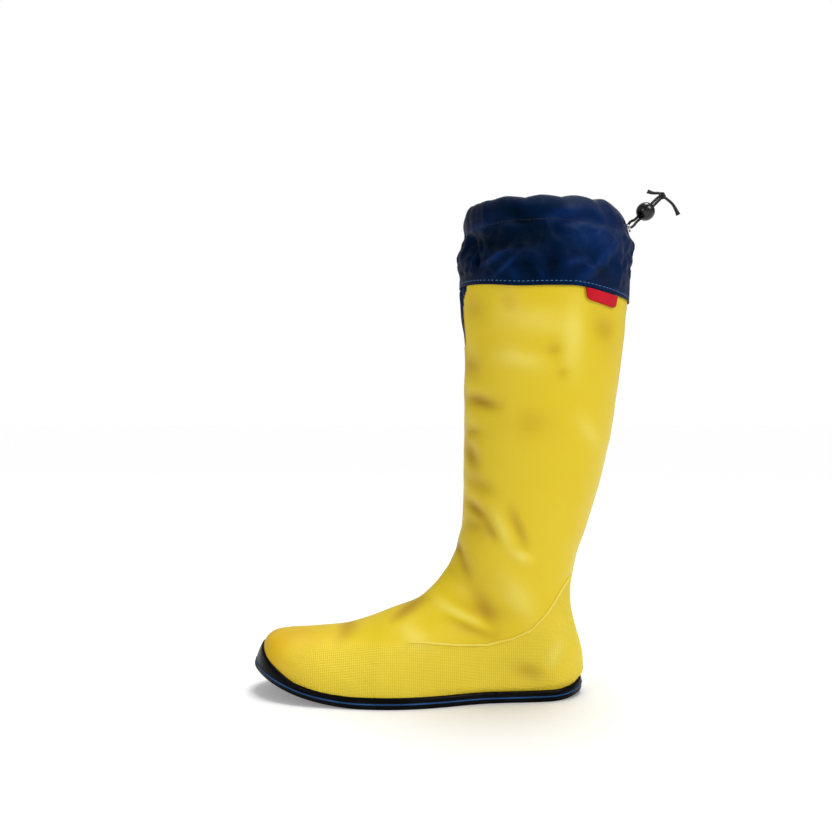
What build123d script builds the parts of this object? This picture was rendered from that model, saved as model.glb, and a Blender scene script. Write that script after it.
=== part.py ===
from build123d import *
from collections import namedtuple
from math import cos, hypot, pi, radians, sin, sqrt, tan
import os

# A packable rubber rain boot, left foot. The toe points to -X, the outer side of the foot to -Y.
# The origin is on the ground under the sole. Millimetres.

# Walls, outside to inside, as depths below the boot's outer surface
RUBBER = 1.2
STIFFENER_IN = 1.75
LINING_OUT = 1.85
LINING_IN = 2.25
# Gaps between pieces that lie on each other
BOND = 0.02
LOOSE = 0.05
# Sole
FLAT_FROM = -35
FLAT_TO = 100
TOE_SPRING_R = 211
HEEL_ROLL_R = 93
OUTSOLE = 3.6
OUTSOLE_LIP = 1.6
BAND_HEIGHT = 8
BAND_TOE_RISE = 9
BAND_WALL = 1.6
STRIPE_Z = 2.9
STRIPE_HEIGHT = 1.4
BOARD = 1.2
INSOLE = 2.6
TREAD_DEPTH = 1.4
TREAD_WIDTH = 3.2
TREAD_PITCH = 9.5
TREAD_RIM = 8
# Ankle
ANKLE_X = 80
ANKLE_Z = 110
SLEEVE_HALF = 15
SLEEVE_TILT = 6
# Shaft and cuff
SHAFT_TOP = 315
HEM_Z = 304
HEM_BACK_DROP = 8
HEM_BEND_X = 118
CHANNEL_SEAM_Z = 350
CHANNEL_DEPTH = 5.5
TOP_Z = 370
CUFF_OUT = 1.0
CUFF_IN = 0.2
FABRIC = 0.8
NOTCH_HALF = 10
NOTCH_BOTTOM = 263
NOTCH_ROUND = 6
GUSSET_LAP = 8
STITCH_PROUD = 0.35
STITCH_HALF = 0.4
# The label, as (x, z) corners on the outer side
LABEL = [(125, 304), (149.5, 298.5), (148, 290.5), (126, 296)]
# Eyelets at the cuff's back: where each one sits, and which way they face
EYELETS = {"near": (162.0, -5.2, 354.1), "far": (160.6, 5.2, 357)}
EYELET_FACES = (0.92, 0, 0.39)
EYELET_BORE_R = 1.35
EYELET_BARREL_R = 1.8
EYELET_FLANGE_R = 3.1
WASHER_R = 2.6
# Seam bead
BEAD_HALF = 1.3
BEAD_PROUD = 0.9
# Cord and its lock
CORD_R = 1.05
LOCK_X = 176.7
LOCK_Z = 368.5
LOCK_R = 7.1
CORD_ANGLE = 44
STRAND_GAP = 1.15
KNOT_AT = 17.6
KNOT_R = 3.1
CORD_ROOM = 0.25
PLUNGER_R = 4.2
PLUNGER_PROUD = 1.7
PLUNGER_TRAVEL = 1.5
SPRING_R = 1.5
SPRING_WIRE = 0.22
SPRING_PITCH = 1.1
SPRING_LENGTH = 3.2
WIDE = 90

Cut = namedtuple("Cut", "front back middle half_width centre front_power back_power")

# The boot's body is one loft. Each cut gives its front and back points as (x, z), the y of its
# middle, its half width, where along it is widest, and how round (1) or square (0.5) its ends are.
TOE_CUTS = [
    Cut((-118.6, 33), (-118.6, 4), 6.5, 13, 0.55, 1, 0.6),
    Cut((-115.4, 40.2), (-115.4, 2), 6, 20.5, 0.55, 0.95, 0.6),
    Cut((-109, 44.4), (-109, -2), 5.5, 27.5, 0.55, 0.85, 0.55),
    Cut((-97, 46.4), (-97, -6), 4, 34.5, 0.55, 0.85, 0.5),
    Cut((-80, 47.6), (-80, -10), 2.5, 41, 0.6, 0.9, 0.45),
    Cut((-58, 50.2), (-58, -12), 1.3, 44.7, 0.6, 0.95, 0.42),
    Cut((-38, 56), (-38, -13), -0.6, 46.3, 0.62, 1, 0.42),
    Cut((-20, 63), (-20, -14), -2.7, 45.6, 0.62, 1, 0.42),
]
HEEL_CUTS = [
    Cut((1.3, 71.5), (31.5, -12), -4, 38.6, 0.58, 1, 0.42),
    Cut((13.7, 81.9), (78, -10), -2, 34.2, 0.55, 1, 0.5),
    Cut((21.5, 91.3), (121.5, -2), 0, 34.2, 0.55, 1, 0.75),
    Cut((26, 97.8), (127.6, 26.6), 0.5, 35, 0.52, 1, 0.95),
    Cut((30.2, 107.6), (118.5, 68.3), 0, 36.5, 0.5, 1, 1),
    Cut((33, 118.7), (121.3, 100), 0, 38.3, 0.5, 1, 1),
]
SHAFT_CUTS = [
    Cut((35, 130), (131.8, 130), 0, 40.8, 0.5, 1, 1),
    Cut((36.6, 158), (140.2, 158), 0, 43.6, 0.5, 1, 1),
    Cut((37, 190), (147.6, 190), 0, 46.4, 0.5, 1, 1),
    Cut((37, 228), (153.8, 228), 0, 49, 0.5, 1, 1),
    Cut((37, 268), (159.2, 268), 0, 51, 0.5, 1, 1),
    Cut((34.8, 300), (162, 300), 0, 52, 0.5, 1, 1),
    Cut((35, 324), (163, 324), 0, 52.4, 0.5, 1, 1),
    Cut((36.8, 345), (164.2, 345), 0, 51.5, 0.5, 1, 1),
    Cut((38.2, 358), (158.5, 358), 0, 49, 0.5, 1, 1),
    Cut((40.6, 373), (150.5, 373), 0, 45.5, 0.5, 1, 1),
]
CUT_POINTS = 20
MEETING_CUT = 3

# The sole's outline from above, clockwise from the tip of the toe
SOLE_OUTLINE = [
    (-124.6, 8), (-118.5, 25), (-105, 38), (-85, 45.5), (-62, 48.5), (-38, 47.5), (-12, 42.5), (15, 35),
    (45, 30), (80, 31.3), (104, 29.3), (119.5, 20), (127.2, 1), (119.5, -17.5), (104, -27.8), (80, -31.6),
    (48, -35.3), (15, -44.7), (-12, -49.2), (-38, -48.4), (-62, -44.6), (-85, -38.5), (-105, -27.5),
    (-119, -11.5),
]

# The seam between the ribbed foot and the smooth part above it, from the toe to the heel
SEAM = [
    (-150, 41), (-112, 41.5), (-70, 44.5), (-30, 46), (5, 45.8), (30, 43.5), (52, 43), (70, 47.2), (84, 53.5),
    (97, 66.5), (109, 82.5), (122, 97), (150, 112),
]


def power(value, exponent):
    return abs(value) ** exponent * (1 if value >= 0 else -1)


def cut_wire(cut, grow):
    """A closed curve through one cut of the boot's body, pushed outwards by grow."""
    length = hypot(cut.back[0] - cut.front[0], cut.back[1] - cut.front[1])
    along = ((cut.back[0] - cut.front[0]) / length, (cut.back[1] - cut.front[1]) / length)
    reach_front = length * cut.centre + grow
    reach_back = length * (1 - cut.centre) + grow
    centre = (
        cut.front[0] + along[0] * length * cut.centre,
        cut.front[1] + along[1] * length * cut.centre,
    )
    points = []
    for i in range(CUT_POINTS):
        turn = 2 * pi * i / CUT_POINTS
        exponent = cut.front_power if cos(turn) > 0 else cut.back_power
        reach = -power(cos(turn), exponent) * (reach_front if cos(turn) > 0 else reach_back)
        side = power(sin(turn), exponent) * (cut.half_width + grow)
        points.append((centre[0] + along[0] * reach, cut.middle + side, centre[1] + along[1] * reach))
    steps = [i / CUT_POINTS for i in range(CUT_POINTS + 1)]
    return Wire([Edge.make_spline(points, periodic=True, parameters=steps)])


def side_slab(face):
    """A face drawn in the XZ plane, made as wide as the boot and more."""
    return extrude(face, WIDE, dir=(0, 1, 0), both=True)


def side_face(edges):
    return Face(Wire(edges))


def polygon(points):
    corners = [(x, 0, z) for x, z in points]
    edges = [Edge.make_line(a, b) for a, b in zip(corners, corners[1:] + corners[:1])]
    return side_face(edges)


def body_form(grow):
    """The whole boot as one closed solid, its outer surface pushed outwards by grow.

    It is lofted in two runs, which both pass through the same cut across the heel and meet there.
    """
    toe = TOE_CUTS[0]._replace(front=(-118.6 - grow, 33), back=(-118.6 - grow, 4))
    foot_cuts = [toe] + TOE_CUTS[1:] + HEEL_CUTS[: MEETING_CUT + 2]
    shaft_cuts = HEEL_CUTS[MEETING_CUT - 1 :] + SHAFT_CUTS
    foot = Solid.make_loft([cut_wire(cut, grow) for cut in foot_cuts])
    shaft = Solid.make_loft([cut_wire(cut, grow) for cut in shaft_cuts])
    front, back = HEEL_CUTS[MEETING_CUT].front, HEEL_CUTS[MEETING_CUT].back
    slope = (back[1] - front[1]) / (back[0] - front[0])
    left, right = -200, 300
    line = [(x, front[1] + slope * (x - front[0])) for x in (left, right)]
    lower = side_slab(polygon(line + [(right, -250), (left, -250)]))
    return (foot & lower) + (shaft - lower)


def under_curve(points, low=-60):
    """The face below a smooth curve through (x, z) points."""
    corners = [(x, 0, z) for x, z in points]
    first, last = corners[0], corners[-1]
    edges = [
        Edge.make_spline(corners),
        Edge.make_line(last, (last[0], 0, low)),
        Edge.make_line((last[0], 0, low), (first[0], 0, low)),
        Edge.make_line((first[0], 0, low), first),
    ]
    return side_face(edges)


def ground_line(x):
    """The height of the sole's underside: flat, with toe spring and a rolled heel."""
    if x < FLAT_FROM:
        return TOE_SPRING_R - sqrt(TOE_SPRING_R**2 - (FLAT_FROM - x) ** 2)
    if x > FLAT_TO:
        return HEEL_ROLL_R - sqrt(HEEL_ROLL_R**2 - (x - FLAT_TO) ** 2)
    return 0


def below_sole_line(height):
    """Everything lower than a height above the sole's underside."""
    toe_x = -140
    heel_x = 140
    toe_mid = (toe_x + FLAT_FROM) / 2
    heel_mid = (heel_x + FLAT_TO) / 2
    corners = [(x, 0, ground_line(x) + height) for x in (toe_x, toe_mid, FLAT_FROM, FLAT_TO, heel_mid, heel_x)]
    edges = [
        Edge.make_three_point_arc(corners[0], corners[1], corners[2]),
        Edge.make_line(corners[2], corners[3]),
        Edge.make_three_point_arc(corners[3], corners[4], corners[5]),
        Edge.make_line(corners[5], (heel_x, 0, -60)),
        Edge.make_line((heel_x, 0, -60), (toe_x, 0, -60)),
        Edge.make_line((toe_x, 0, -60), corners[0]),
    ]
    return side_slab(side_face(edges))


def band_top(x):
    rise = BAND_TOE_RISE * max(0, (-60 - x) / 64.6) ** 2
    return ground_line(x) + BAND_HEIGHT + rise


def below_band_top():
    stations = [-140, -124, -108, -92, -76, -60, -35, 0, 50, 100, 115, 128, 140]
    return side_slab(under_curve([(x, band_top(x)) for x in stations]))


def sole_column(grow, low=-40, high=90):
    """The sole's outline, grown sideways, as an upright column."""
    count = len(SOLE_OUTLINE)
    points = []
    for i, (x, y) in enumerate(SOLE_OUTLINE):
        before = SOLE_OUTLINE[i - 1]
        after = SOLE_OUTLINE[(i + 1) % count]
        run = (after[0] - before[0], after[1] - before[1])
        length = hypot(*run)
        points.append((x - run[1] / length * grow, y + run[0] / length * grow, low))
    outline = Face(Wire([Edge.make_spline(points, periodic=True)]))
    return extrude(outline, high - low, dir=(0, 0, 1))


def write(shape, node):
    solids = [s for s in shape.solids() if s.volume > 0.5 or node.startswith(("lock_spring", "cord"))]
    whole = solids[0] if len(solids) == 1 else Compound(children=solids)
    export_step(whole, f"parts/{node}.step")
    print(node, len(solids), round(sum(s.volume for s in solids), 1))


# ---- regions that the pieces are cut with ----

def ankle_plane_slab(offset):
    """Everything below a tilted plane across the ankle, offset along its normal."""
    tilt = radians(SLEEVE_TILT)
    normal = (sin(tilt), cos(tilt))
    centre = (ANKLE_X + normal[0] * offset, ANKLE_Z + normal[1] * offset)
    slope = -tan(tilt)
    left, right = -160, 200
    return side_slab(
        polygon(
            [
                (left, centre[1] + slope * (left - centre[0])),
                (right, centre[1] + slope * (right - centre[0])),
                (right, -60),
                (left, -60),
            ]
        )
    )


def hem_line(lift):
    """Everything below the cuff's hem, which drops towards the back."""
    back_slope = HEM_BACK_DROP / (162 - HEM_BEND_X)
    back_z = HEM_Z - back_slope * (200 - HEM_BEND_X)
    points = [(-160, HEM_Z + lift), (HEM_BEND_X, HEM_Z + lift), (200, back_z + lift)]
    return side_slab(polygon(points + [(200, -60), (-160, -60)]))


def below_z(height):
    return Pos(60, 0, height - 300) * Box(400, 2 * WIDE, 600)


os.makedirs("parts", exist_ok=True)

# ---- sole ----

outsole_column = sole_column(0)
inside_band = sole_column(-BAND_WALL)
under_outsole_top = below_sole_line(OUTSOLE)
under_lip_top = below_sole_line(OUTSOLE_LIP)
above_ground = sole_column(5) - below_sole_line(0)


def tread_grooves():
    """Cross grooves in the ball of the foot and the heel, which stop short of the sole's edge."""
    grooves = []
    ball = [FLAT_FROM + 4 - TREAD_PITCH * i for i in range(-3, 7)]
    heel = [FLAT_TO + 13 - TREAD_PITCH * i for i in range(6)]
    for x in ball + heel:
        top = ground_line(x) + TREAD_DEPTH
        grooves.append(Pos(x, 0, top - 10) * Box(TREAD_WIDTH, 2 * WIDE, 20))
    inner = sole_column(-TREAD_RIM)
    return [groove & inner for groove in grooves]


def make_outsole():
    base = (outsole_column & under_lip_top) - below_sole_line(0)
    core = (sole_column(-BAND_WALL - LOOSE) & under_outsole_top) - below_sole_line(OUTSOLE_LIP - 0.5)
    sole = base + core
    for groove in tread_grooves():
        sole = sole - groove
    return sole


band_region = below_band_top() - below_sole_line(OUTSOLE_LIP)
stripe_region = below_sole_line(STRIPE_Z + STRIPE_HEIGHT) - below_sole_line(STRIPE_Z)
band = (outsole_column - inside_band) & band_region
stripe = ((sole_column(0.25) - sole_column(-0.45)) & stripe_region)
write(make_outsole(), "outsole")
write(band - stripe, "sole_band")
write(stripe, "band_stripe")

# ---- the body's skins ----

skin = body_form(0)
under_rubber = body_form(-RUBBER)
under_stiffener = body_form(-STIFFENER_IN)
over_lining = body_form(-LINING_OUT)
under_lining = body_form(-LINING_IN)

outside_sole = below_band_top() - inside_band
below_seam = side_slab(under_curve(SEAM))
below_sleeve = ankle_plane_slab(-SLEEVE_HALF)
below_shaft = ankle_plane_slab(SLEEVE_HALF)
sleeve_region = ankle_plane_slab(SLEEVE_HALF - 0.3) - ankle_plane_slab(-SLEEVE_HALF + 0.3)

rubber = skin - under_rubber
foot_rubber = (rubber & below_sleeve) - under_outsole_top - outside_sole
write(foot_rubber & below_seam, "galosh")
write(foot_rubber - below_seam, "vamp")
write(rubber & sleeve_region, "ankle_sleeve")


def make_seam_bead():
    strip = side_slab(under_curve([(x, z + BEAD_HALF) for x, z in SEAM]))
    strip = strip - side_slab(under_curve([(x, z - BEAD_HALF) for x, z in SEAM]))
    front = Pos(-100, 0, 0) * Box(190, 2 * WIDE, 400)
    return ((body_form(BEAD_PROUD) - body_form(BOND)) & strip) - front


write(make_seam_bead() & ankle_plane_slab(-SLEEVE_HALF), "seam_bead")

outside_rubber = below_band_top() - sole_column(-BAND_WALL - RUBBER)
toe_region = side_slab(polygon([(-160, -60), (-27, -60), (-30, 8), (-58, 25), (-66, 70), (-160, 70)]))
heel_region = side_slab(polygon([(96, -60), (98, 14), (112, 27), (119, 43), (170, 60), (170, -60)]))
stiffener = (body_form(-RUBBER - BOND) - under_stiffener) - under_outsole_top - outside_rubber
write(stiffener & toe_region, "toe_reinforcement")
write(stiffener & heel_region, "heel_reinforcement")

lining = over_lining - under_lining
outside_stiffener = below_band_top() - sole_column(-BAND_WALL - RUBBER - 0.6)
foot_lining = (lining & below_sleeve) - below_sole_line(OUTSOLE + BOARD) - outside_stiffener
write(foot_lining, "foot_lining")
write(lining & sleeve_region, "ankle_lining")

floor_space = body_form(-LINING_OUT) & sole_column(-BAND_WALL - RUBBER - 0.7)
board = floor_space & (below_sole_line(OUTSOLE + BOARD - BOND) - below_sole_line(OUTSOLE + BOND))
write(board, "insole_board")
insole_space = body_form(-LINING_IN - 0.1) & sole_column(-BAND_WALL - RUBBER - 1.2)
insole = insole_space & (below_sole_line(OUTSOLE + BOARD + INSOLE) - below_sole_line(OUTSOLE + BOARD + LOOSE))
write(insole, "insole")

# ---- shaft ----


def make_notch():
    """The opening at the top of the shaft's front, with round lower corners."""
    height = TOP_Z - NOTCH_BOTTOM
    opening = Pos(0, 0, NOTCH_BOTTOM + height / 2) * Box(160, 2 * NOTCH_HALF, height)
    corners = opening.edges().filter_by(Axis.X).sort_by(Axis.Z)[:2]
    return fillet(corners, NOTCH_ROUND)


shaft_region = below_z(SHAFT_TOP) - below_shaft
write((rubber & shaft_region) - make_notch(), "shaft_tube")
write(lining & (below_z(SHAFT_TOP - 2) - below_shaft), "shaft_lining")
gusset_height = SHAFT_TOP - NOTCH_BOTTOM + GUSSET_LAP
gusset_box = Pos(0, 0, SHAFT_TOP - gusset_height / 2) * Box(160, 2 * (NOTCH_HALF + GUSSET_LAP), gusset_height)
write((body_form(-RUBBER - BOND) - under_stiffener) & gusset_box, "front_gusset")

# ---- cuff ----

cuff_outer = body_form(CUFF_OUT)
cuff_inner = body_form(CUFF_IN)
channel_floor = below_z(CHANNEL_SEAM_Z)
write(((cuff_outer - cuff_inner) & channel_floor) - hem_line(0), "cuff_panel")


def eyelet_axis(x, y, z):
    """A line out of the back of the channel at one eyelet."""
    return Location(Plane(origin=(x, y, z), z_dir=EYELET_FACES))


def make_channel():
    ring = (cuff_outer - body_form(-CHANNEL_DEPTH)) & (below_z(TOP_Z) - channel_floor)
    hollow = body_form(CUFF_IN) - body_form(-CHANNEL_DEPTH + FABRIC)
    ring = ring - (hollow & (below_z(TOP_Z - FABRIC) - below_z(CHANNEL_SEAM_Z + FABRIC)))
    for place in EYELETS.values():
        ring = ring - eyelet_axis(*place) * Cylinder(EYELET_BARREL_R + 2 * LOOSE, 6)
    return ring


channel = make_channel()
write(channel, "cuff_channel")


def thread_ring(height, slanted):
    low = hem_line(height - STITCH_HALF) if slanted else below_z(height - STITCH_HALF)
    high = hem_line(height + STITCH_HALF) if slanted else below_z(height + STITCH_HALF)
    return (body_form(CUFF_OUT + STITCH_PROUD) - body_form(CUFF_OUT + BOND)) & (high - low)


write(thread_ring(3, True), "hem_thread")
write(thread_ring(CHANNEL_SEAM_Z + 1.5, False), "channel_thread")


def make_label():
    outer_half = Pos(60, -WIDE / 2, 300) * Box(300, WIDE, 80)
    layer = body_form(CUFF_OUT + 1.5) - body_form(CUFF_OUT + 0.4)
    return layer & side_slab(polygon(LABEL)) & outer_half


write(make_label(), "hem_label")


def ring_along(seat, middle, outer_r, inner_r, length):
    """A ring on an eyelet's axis, its middle so far out of the cuff."""
    return seat * (Pos(0, 0, middle) * (Cylinder(outer_r, length) - Cylinder(inner_r, 2 * length)))


for name, place in EYELETS.items():
    seat = eyelet_axis(*place)
    flange = ring_along(seat, 0.9, EYELET_FLANGE_R, EYELET_BORE_R, 0.7)
    barrel = ring_along(seat, -0.75, EYELET_BARREL_R, EYELET_BORE_R, 3.5)
    washer = ring_along(seat, -2.2, WASHER_R, EYELET_BARREL_R + LOOSE, 0.5) - channel
    write(flange + barrel, f"eyelet_{name}")
    write(washer, f"eyelet_washer_{name}")

# ---- cord ----

along = (cos(radians(CORD_ANGLE)), sin(radians(CORD_ANGLE)))
across = (-along[1], along[0])


def on_cord(distance, side, y=0.0):
    """A point so far along the cord's straight stretch from the lock's middle, and off to one side."""
    x = LOCK_X + along[0] * distance + across[0] * side
    z = LOCK_Z + along[1] * distance + across[1] * side
    return (x, y, z)


def cord_tube(points, share=0.45):
    """A cord through the points: straight runs joined by arcs as large as the runs allow."""
    corners = [Vector(*p) for p in points]
    radii = []
    for before, here, after in zip(corners, corners[1:], corners[2:]):
        turn = radians((here - before).get_angle(after - here))
        shorter = min((here - before).length, (after - here).length)
        radii.append(share * shorter / tan(turn / 2))
    print("cord radii", [round(r, 1) for r in radii])
    path = FilletPolyline(*corners, radius=radii)
    start = Plane(origin=path @ 0, z_dir=path % 0)
    tube = sweep(start * Circle(CORD_R), path=path)
    print("cord volume share", round(tube.volume / (pi * CORD_R**2 * path.length), 3), round(path.length, 1))
    return tube


near_route = [
    (163.2, -5.2, 354.6), (166.2, -5.1, 355.9), (168.8, -3.3, 359.6), on_cord(-11, -STRAND_GAP, -0.1),
    on_cord(-4, -STRAND_GAP), on_cord(4, -STRAND_GAP, 0.1), on_cord(11, -STRAND_GAP, 0),
    on_cord(KNOT_AT - KNOT_R + 0.4, -STRAND_GAP + 0.1, -0.1),
]
far_route = [
    (161.4, 5.2, 357.4), (164.3, 5.1, 358.7), (165.6, 3.2, 361.3), on_cord(-10.5, STRAND_GAP, 0.1),
    on_cord(-4, STRAND_GAP), on_cord(4, STRAND_GAP, -0.1), on_cord(11, STRAND_GAP, 0),
    on_cord(KNOT_AT - KNOT_R + 0.4, STRAND_GAP - 0.1, 0.1),
]
knot = Pos(*on_cord(KNOT_AT, 0)) * Sphere(KNOT_R)
near_cord = cord_tube(near_route)
far_cord = cord_tube(far_route)
write(near_cord - knot, "drawcord_end_near")
write(far_cord - knot, "drawcord_end_far")
write(knot, "cord_knot")
near_tail = cord_tube([on_cord(KNOT_AT, 0), (195.4, -0.6, 376.4), (199.2, -1, 371.5), (201.6, -1.2, 365.6)])
far_tail = cord_tube([on_cord(KNOT_AT, 0), (188.2, 1.2, 383.2), (183, 1.4, 382.6), (178.6, 1.6, 384.4)])
write(near_tail - knot, "cord_tail_near")
write(far_tail - knot, "cord_tail_far")


def make_loop():
    """The part of the cord inside the channel, round the whole cuff from eyelet to eyelet."""
    middle_z = (CHANNEL_SEAM_Z + TOP_Z) / 2
    points = []
    for i in range(1, 24):
        turn = radians(8 + (360 - 16) * (i - 1) / 22)
        points.append((99 + 57.5 * cos(turn), 46 * sin(turn), middle_z - 3.5 * cos(turn)))
    path = Edge.make_spline(points)
    start = Plane(origin=path @ 0, z_dir=path % 0)
    return sweep(start * Circle(CORD_R), path=path)


write(make_loop(), "drawcord_loop")

# ---- cord lock ----

lock_centre = Pos(LOCK_X, 0, LOCK_Z)
press_plane = Plane(origin=(LOCK_X, 0, LOCK_Z), x_dir=(along[0], 0, along[1]), z_dir=(0, 1, 0))
press = Location(press_plane)
# In this frame X runs along the cord, Y across both strands and Z out of the button.


def in_lock(shape):
    return press * shape


SLOT_ACROSS = 2 * (STRAND_GAP + CORD_R + CORD_ROOM)
SLOT_DEEP = 2 * CORD_R + 0.9
body = in_lock(Sphere(LOCK_R))
body = body - in_lock(Pos(0, 0, 2.9) * Cylinder(PLUNGER_R + 0.15, 14.2))
body = body - in_lock(Pos(0, 0, -5.1) * Cylinder(SPRING_R + 0.5, 2))
body = body - in_lock(Pos(0, 0, -0.25) * Box(30, SLOT_ACROSS, SLOT_DEEP))
write(body, "lock_body")
plunger = in_lock(Pos(0, 0, 3.2) * Cylinder(PLUNGER_R, 11.2))
plunger = plunger & in_lock(Pos(0, 0, PLUNGER_PROUD) * Sphere(LOCK_R))
plunger = plunger - in_lock(Pos(0, 0, PLUNGER_TRAVEL / 2) * Box(30, SLOT_ACROSS, 2 * CORD_R + 0.3 + PLUNGER_TRAVEL))
write(plunger, "lock_plunger")
turns = Helix(SPRING_PITCH, SPRING_LENGTH, SPRING_R)
spring_start = Plane(origin=turns @ 0, z_dir=turns % 0)
spring = sweep(spring_start * Circle(SPRING_WIRE), path=turns)
write(in_lock(Pos(0, 0, -5.75) * spring), "lock_spring")
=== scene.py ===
import math
from collections import namedtuple

import bmesh
import bpy
from mathutils import Matrix, Vector, noise
from mathutils.bvhtree import BVHTree


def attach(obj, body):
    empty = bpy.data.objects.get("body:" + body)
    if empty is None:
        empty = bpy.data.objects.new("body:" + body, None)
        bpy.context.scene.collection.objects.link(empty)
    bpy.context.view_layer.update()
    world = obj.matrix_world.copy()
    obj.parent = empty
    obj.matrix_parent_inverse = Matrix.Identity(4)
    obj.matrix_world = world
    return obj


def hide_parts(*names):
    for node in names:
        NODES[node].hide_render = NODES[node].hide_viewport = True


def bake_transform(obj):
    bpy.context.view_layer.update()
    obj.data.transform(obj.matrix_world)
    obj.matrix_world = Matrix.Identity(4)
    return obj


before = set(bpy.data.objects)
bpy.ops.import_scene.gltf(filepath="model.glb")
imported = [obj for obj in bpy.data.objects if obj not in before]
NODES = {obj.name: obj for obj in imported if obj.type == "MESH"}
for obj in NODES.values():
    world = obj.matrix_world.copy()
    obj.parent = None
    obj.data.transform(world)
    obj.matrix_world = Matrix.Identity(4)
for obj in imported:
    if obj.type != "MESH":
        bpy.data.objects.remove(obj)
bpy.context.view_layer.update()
MM = 0.001

# ---- sizes, in metres unless a name says otherwise ----
RUBBER = 1.2 * MM
LINING_DEPTH = 2.0 * MM
HEM_Z = 0.304
HEM_BEND_X = 0.118
HEM_DROP = 8 / 44
NOTCH_BOTTOM = 0.263
CHANNEL_SEAM_Z = 0.350
CUFF_TOP_Z = 0.3695
BAND_HEIGHT = 8 * MM
BAND_WALL = 1.6 * MM
OUTSOLE = 3.6 * MM
FLAT_FROM, FLAT_TO = -0.035, 0.100
TOE_SPRING_R, HEEL_ROLL_R = 0.211, 0.093
CORD_R = 1.05 * MM
STRAND_GAP = 1.15 * MM
LOCK_X, LOCK_Z = 0.1767, 0.3685
CORD_TURN = math.radians(44)
KNOT_AT = 0.0176
KNOT_POINTS = 24
UPPER_TOP_Z, LINING_TOP_Z, STIFFENER_TOP_Z = 0.315, 0.3135, 0.10
LINING_WALL = 0.4 * MM
STIFFENER_WALL = 0.45 * MM
CUFF_CLOTH, GUSSET_CLOTH = 0.35 * MM, 0.3 * MM
CUFF_CUT = (0.42, 0.10)
GUSSET_CUT = (0.042, 0.055)
LABEL_CUT = (0.025, 0.018)
VIEW_DISTANCE, VIEW_HEIGHT = 0.720, 0.211

Cut = namedtuple("Cut", "front back middle half_width centre front_power back_power")

# The boot's body, as cuts from the toe over the heel and up the shaft, in millimetres
CUTS = [
    Cut((-118.6, 33), (-118.6, 4), 6.5, 13, 0.55, 1, 0.6),
    Cut((-115.4, 40.2), (-115.4, 2), 6, 20.5, 0.55, 0.95, 0.6),
    Cut((-109, 44.4), (-109, -2), 5.5, 27.5, 0.55, 0.85, 0.55),
    Cut((-97, 46.4), (-97, -6), 4, 34.5, 0.55, 0.85, 0.5),
    Cut((-80, 47.6), (-80, -10), 2.5, 41, 0.6, 0.9, 0.45),
    Cut((-58, 50.2), (-58, -12), 1.3, 44.7, 0.6, 0.95, 0.42),
    Cut((-38, 56), (-38, -13), -0.6, 46.3, 0.62, 1, 0.42),
    Cut((-20, 63), (-20, -14), -2.7, 45.6, 0.62, 1, 0.42),
    Cut((1.3, 71.5), (31.5, -12), -4, 38.6, 0.58, 1, 0.42),
    Cut((13.7, 81.9), (78, -10), -2, 34.2, 0.55, 1, 0.5),
    Cut((21.5, 91.3), (121.5, -2), 0, 34.2, 0.55, 1, 0.75),
    Cut((26, 97.8), (127.6, 26.6), 0.5, 35, 0.52, 1, 0.95),
    Cut((30.2, 107.6), (118.5, 68.3), 0, 36.5, 0.5, 1, 1),
    Cut((33, 118.7), (121.3, 100), 0, 38.3, 0.5, 1, 1),
    Cut((35, 130), (131.8, 130), 0, 40.8, 0.5, 1, 1),
    Cut((36.6, 158), (140.2, 158), 0, 43.6, 0.5, 1, 1),
    Cut((37, 190), (147.6, 190), 0, 46.4, 0.5, 1, 1),
    Cut((37, 228), (153.8, 228), 0, 49, 0.5, 1, 1),
    Cut((37, 268), (159.2, 268), 0, 51, 0.5, 1, 1),
    Cut((34.8, 300), (162, 300), 0, 52, 0.5, 1, 1),
    Cut((35, 324), (163, 324), 0, 52.4, 0.5, 1, 1),
    Cut((36.8, 345), (164.2, 345), 0, 51.5, 0.5, 1, 1),
    Cut((38.2, 358), (158.5, 358), 0, 49, 0.5, 1, 1),
    Cut((40.6, 373), (150.5, 373), 0, 45.5, 0.5, 1, 1),
]
FIRST_SHAFT_CUT = 14

# The sole's outline from above, in millimetres, clockwise from the tip of the toe
SOLE_OUTLINE = [(-124.6, 8), (-118.5, 25), (-105, 38), (-85, 45.5), (-62, 48.5), (-38, 47.5), (-12, 42.5),
                (15, 35), (45, 30), (80, 31.3), (104, 29.3), (119.5, 20), (127.2, 1), (119.5, -17.5),
                (104, -27.8), (80, -31.6), (48, -35.3), (15, -44.7), (-12, -49.2), (-38, -48.4), (-62, -44.6),
                (-85, -38.5), (-105, -27.5), (-119, -11.5)]

# The seam of the ribbed foot, from the toe to the heel, as (x, z) in millimetres
SEAM = [(-150, 41), (-112, 41.5), (-70, 44.5), (-30, 46), (5, 45.8), (30, 43.5), (52, 43), (70, 47.2),
        (84, 53.5), (97, 66.5), (109, 82.5), (122, 97)]


# ---- the camera comes first ----
def make_camera():
    data = bpy.data.cameras.new("view_camera")
    data.sensor_width = 36
    data.lens = 40.46
    camera = bpy.data.objects.new("view_camera", data)
    camera.location = (0, -VIEW_DISTANCE, VIEW_HEIGHT)
    camera.rotation_euler = (math.radians(90), 0, 0)
    bpy.context.collection.objects.link(camera)
    bpy.context.scene.camera = camera


make_camera()
bpy.context.scene.view_settings.view_transform = "Standard"


# ---- shared helpers ----
def clamp(value, high=1.0):
    return max(0.0, min(high, value))


def smooth(low, high, value):
    """0 below low, 1 above high, and a soft step between."""
    t = clamp((value - low) / (high - low))
    return t * t * (3 - 2 * t)


def bell(distance, width):
    return math.exp(-((distance / width) ** 2))


def signed_power(value, exponent):
    return abs(value) ** exponent * (1 if value >= 0 else -1)


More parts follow.
